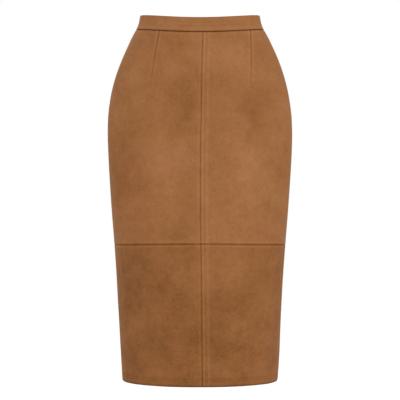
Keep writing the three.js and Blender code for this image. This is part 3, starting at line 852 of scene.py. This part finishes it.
@dataclass
class Waistband:
    """The waistband: cloth folded over a stiffening at the top, in three pieces."""

    room: Workroom

    def build_piece(self, node: str, first: PlaceLine, last: PlaceLine, steps: int) -> bpy.types.Object:
        """One piece of the band between two edges, rounded over at its top.

        Args:
            node: The CAD node that it stands for.
            first: Its edge at the lower place.
            last: Its edge at the higher place.
            steps: How many even places lie between the close-set ones.

        Returns:
            The piece.
        """
        cut, hang = self.room.cut, self.room.hang
        fold = TOP_FOLD * (1 - np.cos(np.linspace(0, math.pi / 2, 7)))
        lowest = (BAND_DEPTH - SEAM_GAP / 2 - NEAR_SEAM)[::-1]
        rows = np.concatenate([fold, BAND_ROWS, lowest])
        drops = np.unique(np.round(rows, 4))
        place = close_columns(cut, drops, [first, last], [steps])
        drop = np.repeat(drops[:, None], place.shape[1], axis=1)
        quarter = cut.quarter(drops, True)[:, None]
        rounding = 1 - np.sqrt(np.clip(1 - (1 - np.clip(drop / TOP_FOLD, 0, 1)) ** 2, 0, 1))
        from_first = (place - place[:, :1]) * quarter
        from_last = (place[:, -1:] - place) * quarter
        ends = bell(from_first, 0, 1.3) + bell(from_last, 0, 1.3)
        seam = bell(BAND_DEPTH - drop, 0, WAIST_ROLL.width)
        outer = hang.height(place, drop) - 1.1 * rounding - 0.7 * seam - 0.4 * ends
        thick = BAND_LAYERS - 1.9 * rounding - 0.7 * seam - 0.4 * ends
        # Painted shade at the band's rounded top edge, in the waist seam and at the piece's ends, and a
        # painted highlight just above the waist seam; the streaks add painted shade and highlight along the
        # pull wrinkles.
        tone = hang.tone(place, drop) + 0.05 - 0.45 * seam - 0.14 * ends - 0.3 * bell(drop, 0, 1.1)
        tone = tone + 0.05 * bell(BAND_DEPTH - drop, 4.5, 1.8) + self.streaks(place, drop)
        thick = np.maximum(thick, 0.7)
        made = self.room.wall(f"{node}_cloth", place, drop, outer, thick, tone, lined=False)
        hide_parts(node)
        self.room.declare(made, place, drop, "stretched", [])
        return made

    def streaks(self, place: np.ndarray, drop: np.ndarray) -> np.ndarray:
        """Faint level streaks of painted shade and painted highlight along the band's pull wrinkles,
        wandering as slow waves.
        """
        wander = 1.1 * np.sin(place * 2.3 + 0.4)
        strength = 0.6 + 0.4 * np.sin(place * 5.1 + 1.0)
        painted_shade = bell(drop, 9.5 + wander, 2.0) + 0.8 * bell(drop, 17.5 - wander, 2.1)
        painted_highlight = bell(drop, 13.0 + wander, 1.6) + bell(drop, 21.5 - wander, 1.5)
        return strength * (0.05 * painted_highlight - 0.045 * painted_shade)

    def build(self) -> list[bpy.types.Object]:
        """Makes the three pieces of the band.

        Returns:
            The pieces.
        """
        cut = self.room.cut
        gap = SEAM_GAP / 2
        left, right = cut.left_side, cut.right_side
        back_left: PlaceLine = lambda drop: 2 - cut.back_gap(drop)
        back_right: PlaceLine = lambda drop: cut.back_gap(drop) - 2
        return [
            self.build_piece("waistband_front", cut.beside(right, gap), cut.beside(left, -gap), BAND_STEPS),
            self.build_piece("waistband_back_left", cut.beside(left, gap), back_left, BACK_BAND_STEPS),
            self.build_piece("waistband_back_right", back_right, cut.beside(right, -gap), BACK_BAND_STEPS),
        ]


@dataclass
class Skirting:
    """The eight panels, the seam allowances behind them and their rows of stitches."""

    room: Workroom
    allowance: float = 9.0

    def build_panels(self) -> list[bpy.types.Object]:
        """Makes the upper and lower panels, front and back.

        Returns:
            The eight panels.
        """
        cut = self.room.cut
        gap = SEAM_GAP / 2
        front, left, right = cut.centre_front, cut.left_side, cut.right_side
        back_left: PlaceLine = lambda drop: 2 - cut.back_gap(drop)
        back_right: PlaceLine = lambda drop: cut.back_gap(drop) - 2
        underlap: PlaceLine = lambda drop: -2 - VENT_UNDERLAP / cut.quarter(drop, False)
        top, above = BAND_DEPTH + gap, KNEE_SEAM - gap
        below = KNEE_SEAM + gap
        fl, fr = cut.beside(front, gap), cut.beside(front, -gap)
        bl, al = cut.beside(left, -gap), cut.beside(left, gap)
        br, ar = cut.beside(right, gap), cut.beside(right, -gap)
        face, rear = Half.FRONT, Half.BACK
        room = self.room
        panels = [
            Panel(room, "front_upper_left", face, fl, bl, top, above, (103, 101, 145), 0, 1,
                  raised_first=True, hangs_from="waistband_front_cloth"),
            Panel(room, "front_upper_right", face, br, fr, top, above, (80, 99, 142), 0, -1,
                  hangs_from="waistband_front_cloth"),
            Panel(room, "back_upper_left", rear, al, back_left, top, above, (78, 84, 158), 2, -1,
                  hangs_from="waistband_back_left_cloth"),
            Panel(room, "back_upper_right", rear, back_right, ar, top, above, (78, 84, 158), -2, 1,
                  hangs_from="waistband_back_right_cloth"),
            Panel(room, "front_lower_left", face, fl, bl, below, HEM, raised_first=True,
                  hangs_from="front_upper_left_cloth"),
            Panel(room, "front_lower_right", face, br, fr, below, HEM,
                  hangs_from="front_upper_right_cloth"),
            Panel(room, "back_lower_left", rear, al, back_left, below, HEM,
                  hangs_from="back_upper_left_cloth"),
            Panel(room, "back_lower_right", rear, underlap, ar, below, HEM, lapped=True,
                  hangs_from="back_upper_right_cloth"),
        ]
        return [panel.build() for panel in panels]

    def strip(self, name: str, place: np.ndarray, drop: np.ndarray, behind: float) -> bpy.types.Object:
        """A seam allowance: a thin wall of the same cloth, behind the seam and following it."""
        turned = np.clip((drop - (HEM - HEM_TURN)) / 0.5 + 2, 0, 1)
        outer = self.room.hang.height(place, drop) - behind - (HEM_LAYERS - CLOTH) * turned
        thick = np.full(place.shape, ALLOWANCE_CLOTH)
        made = self.room.wall(name, place, drop, outer, thick, drop * 0, lined=False)
        self.room.declare(made, place, drop, "laid", [])
        return made

    def build_allowances(self) -> list[bpy.types.Object]:
        """Makes the pressed seam allowances, down each seam and round the waist and knee seams.

        Returns:
            The strips.
        """
        cut, made = self.room.cut, []
        centre_back: PlaceLine = lambda drop: np.full(drop.shape, 2.0)
        upright = (
            ("front_seam_allowance", cut.centre_front, True, 31.0, HEM - 0.8),
            ("left_side_allowance", cut.left_side, True, 31.0, HEM - 0.8),
            ("right_side_allowance", cut.right_side, True, 31.0, HEM - 0.8),
            ("back_seam_allowance", centre_back, False, ZIP_END + 12, KNEE_SEAM - 1),
        )
        for name, line, front, top, bottom in upright:
            drops = np.linspace(top, bottom, int((bottom - top) / 4))
            sideways = np.linspace(-self.allowance, self.allowance, ALLOWANCE_COLUMNS)[None, :]
            place = line(drops)[:, None] + sideways / cut.quarter(drops, front)[:, None]
            drop = np.repeat(drops[:, None], ALLOWANCE_COLUMNS, axis=1)
            made.append(self.strip(name, place, drop, CLOTH + ALLOWANCE_BEHIND))
        for name, seam in (("waist_allowance", BAND_DEPTH), ("knee_allowance", KNEE_SEAM)):
            drops = np.linspace(seam + 0.3 if seam < 100 else seam - 8, seam + 10.6, ROUND_ROWS)
            for side, first, last in (("right", -1.97, -0.01), ("left", 0.01, 1.97)):
                place = np.repeat(np.linspace(first, last, ROUND_COLUMNS)[None, :], ROUND_ROWS, axis=0)
                drop = np.repeat(drops[:, None], ROUND_COLUMNS, axis=1)
                made.append(self.strip(f"{name}_{side}", place, drop, CLOTH + ROUND_BEHIND))
        return made

    def build_stitches(self) -> list[bpy.types.Object]:
        """Makes the strike line beside the front seam, the hem's line and the vent's slanted line.

        Returns:
            The rows of stitches.
        """
        room, cut = self.room, self.room.cut
        down = np.linspace(BAND_DEPTH + 3, HEM - 2, 700)
        strike = cut.centre_front(down) + STRIKE_LINE / cut.quarter(down, True)
        around = np.linspace(-1.985, 1.985, 1400)
        slant = np.linspace(0, 1, 60)
        vent_drop = KNEE_SEAM + 6 + 22 * slant
        vent_place = 2 - (3 + 33 * slant) / cut.quarter(vent_drop, False)
        return [
            room.stitches("front_strike_line", strike, down, 0.22),
            room.stitches("hem_line", around, np.full(around.shape, HEM - HEM_TURN), 0.0),
            room.stitches("vent_line", vent_place, vent_drop, 0.1),
        ]


@dataclass
class Zip:
    """The concealed zip: its tapes, slider and pull keep their CAD form; its coil is new."""

    room: Workroom
    frame: dict
    pitch: float = 1.3

    def dress(self) -> None:
        """Gives the tapes, slider and pull their finishes."""
        finishes = {
            "zip_tape_left": TAPE, "zip_tape_right": TAPE, "zip_slider": LACQUER, "zip_pull_tab": LACQUER,
        }
        for node, finish in finishes.items():
            held = self.frame["nodes"][node]
            held.data.materials.clear()
            held.data.materials.append(self.room.finish(finish))

    def build_coil(self) -> bpy.types.Object:
        """The coil: short six-sided bars across the closed edges of the tapes.

        Returns:
            The coil, as one mesh.
        """
        cut = self.room.cut
        drops = np.arange(COIL_TOP, ZIP_END - 1, self.pitch)
        place = np.full(drops.shape, 2.0)
        depth = np.where(drops < BAND_DEPTH, BAND_LAYERS, CLOTH) + SEAM_GAP + COIL_BEHIND
        centre = cut.surface(place, drops) - cut.outward(place, drops) * depth[:, None]
        out = cut.outward(place, drops)
        side = np.array([1.0, 0.0, 0.0])
        rings = centre[:, None] + COIL_ALONG[None, :, None] * side
        across = np.cross(side, out)
        return self.room.spindles("zip_coil", rings, out, across, COIL_GIRTH, LACQUER, Slot.LACQUER)


@dataclass
class Studio:
    """The camera, the floor, the light and the white behind the skirt."""

    eye: tuple[float, float, float] = (0.0, -3.0, -0.3682)
    lens: float = 135.0
    floor_level: float = -1.03
    floor_reach: float = 6.0
    floor_lift: float = 0.3
    world_light: float = 0.62

    def set_camera(self) -> None:
        """Sets a level camera in front of the skirt."""
        camera = bpy.data.cameras.new("camera")
        camera.lens = self.lens
        camera.sensor_width = 36.0
        made = bpy.data.objects.new("camera", camera)
        made.location = self.eye
        made.rotation_euler = (math.pi / 2, 0, 0)
        bpy.context.scene.collection.objects.link(made)
        bpy.context.scene.camera = made
        bpy.context.scene.view_settings.view_transform = "Standard"

    def seen(self, tree: bpy.types.NodeTree) -> bpy.types.NodeSocket:
        """One for a ray from the camera, from gloss or through glass: the largest of three flags."""
        nodes, links = tree.nodes, tree.links
        path = nodes.new("ShaderNodeLightPath")
        seen = path.outputs["Is Camera Ray"]
        for other in ("Is Glossy Ray", "Is Transmission Ray"):
            either = nodes.new("ShaderNodeMath")
            either.operation = "MAXIMUM"
            links.new(seen, either.inputs[0])
            links.new(path.outputs[other], either.inputs[1])
            seen = either.outputs[0]
        return seen

    def whiten_sky(self, tree: bpy.types.NodeTree, sky: bpy.types.Node) -> None:
        """Shows a plain white sky where it is seen, and the even light everywhere else.

        Args:
            tree: The world's nodes.
            sky: The even light.
        """
        nodes, links = tree.nodes, tree.links
        white = nodes.new("ShaderNodeBackground")
        white.inputs["Color"].default_value = (1, 1, 1, 1)
        mix = nodes.new("ShaderNodeMixShader")
        links.new(self.seen(tree), mix.inputs[0])
        links.new(sky.outputs[0], mix.inputs[1])
        links.new(white.outputs[0], mix.inputs[2])
        links.new(mix.outputs[0], nodes["World Output"].inputs["Surface"])

    def lift_floor(self, tree: bpy.types.NodeTree, plain: bpy.types.Node) -> None:
        """Adds a little white to the floor where it is seen, so that its shadow stays.

        Args:
            tree: The floor's nodes.
            plain: The floor's own shader.
        """
        nodes, links = tree.nodes, tree.links
        white = nodes.new("ShaderNodeEmission")
        white.inputs["Color"].default_value = (1, 1, 1, 1)
        lift = nodes.new("ShaderNodeMath")
        lift.operation = "MULTIPLY"
        links.new(self.seen(tree), lift.inputs[0])
        lift.inputs[1].default_value = self.floor_lift
        links.new(lift.outputs[0], white.inputs["Strength"])
        add = nodes.new("ShaderNodeAddShader")
        links.new(plain.outputs[0], add.inputs[0])
        links.new(white.outputs[0], add.inputs[1])
        links.new(add.outputs[0], nodes["Material Output"].inputs["Surface"])

    def set_light(self) -> None:
        """Sets an even sky, white to the camera, and a soft sun high at the front and at the back."""
        world = bpy.data.worlds.new("even_light")
        world.use_nodes = True
        bpy.context.scene.world = world
        tree = world.node_tree
        sky = tree.nodes["Background"]
        sky.inputs["Color"].default_value = (1, 1, 1, 1)
        sky.inputs["Strength"].default_value = self.world_light
        self.whiten_sky(tree, sky)
        for name, strength, spread, turn in (
            ("key_light", 0.95, 40, (58, 0, 22)),
            ("back_light", 0.8, 60, (60, 0, 195)),
        ):
            sun = bpy.data.lights.new(name, "SUN")
            sun.energy = strength
            sun.angle = math.radians(spread)
            lamp = bpy.data.objects.new(name, sun)
            lamp.rotation_euler = tuple(math.radians(a) for a in turn)
            bpy.context.scene.collection.objects.link(lamp)

    def lay_floor(self) -> None:
        """Lays a wide pale floor well below the hem, as under a wearer's feet."""
        reach, level = self.floor_reach, self.floor_level
        corners = [(-reach, -reach, level), (reach, -reach, level), (reach, reach, level),
                   (-reach, reach, level)]
        mesh = bpy.data.meshes.new("floor")
        mesh.from_pydata(corners, [], [(0, 1, 2, 3)])
        material = bpy.data.materials.new("pale_floor")
        material.use_nodes = True
        tree = material.node_tree
        shader = tree.nodes["Principled BSDF"]
        shader.inputs["Base Color"].default_value = (0.82, 0.82, 0.82, 1)
        shader.inputs["Roughness"].default_value = 0.9
        shader.inputs["Specular IOR Level"].default_value = 0.1
        self.lift_floor(tree, shader)
        mesh.materials.append(material)
        floor = bpy.data.objects.new("floor", mesh)
        bpy.context.scene.collection.objects.link(floor)


def main() -> None:
    """Builds the skirt and its studio."""
    logging.basicConfig(level=logging.INFO, format="%(name)s %(message)s")
    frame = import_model()
    studio = Studio()
    studio.set_camera()
    room = Workroom()
    band = Waistband(room).build()
    LOG.info("waistband: %d pieces", len(band))
    skirting = Skirting(room)
    panels = skirting.build_panels()
    LOG.info("panels: %d pieces", len(panels))
    LOG.info("seam allowances: %d pieces", len(skirting.build_allowances()))
    LOG.info("rows of stitches: %d", len(skirting.build_stitches()))
    fastening = Zip(room, frame)
    fastening.dress()
    LOG.info("zip: %s", fastening.build_coil().name)
    studio.set_light()
    studio.lay_floor()


if __name__ == "__main__":
    main()
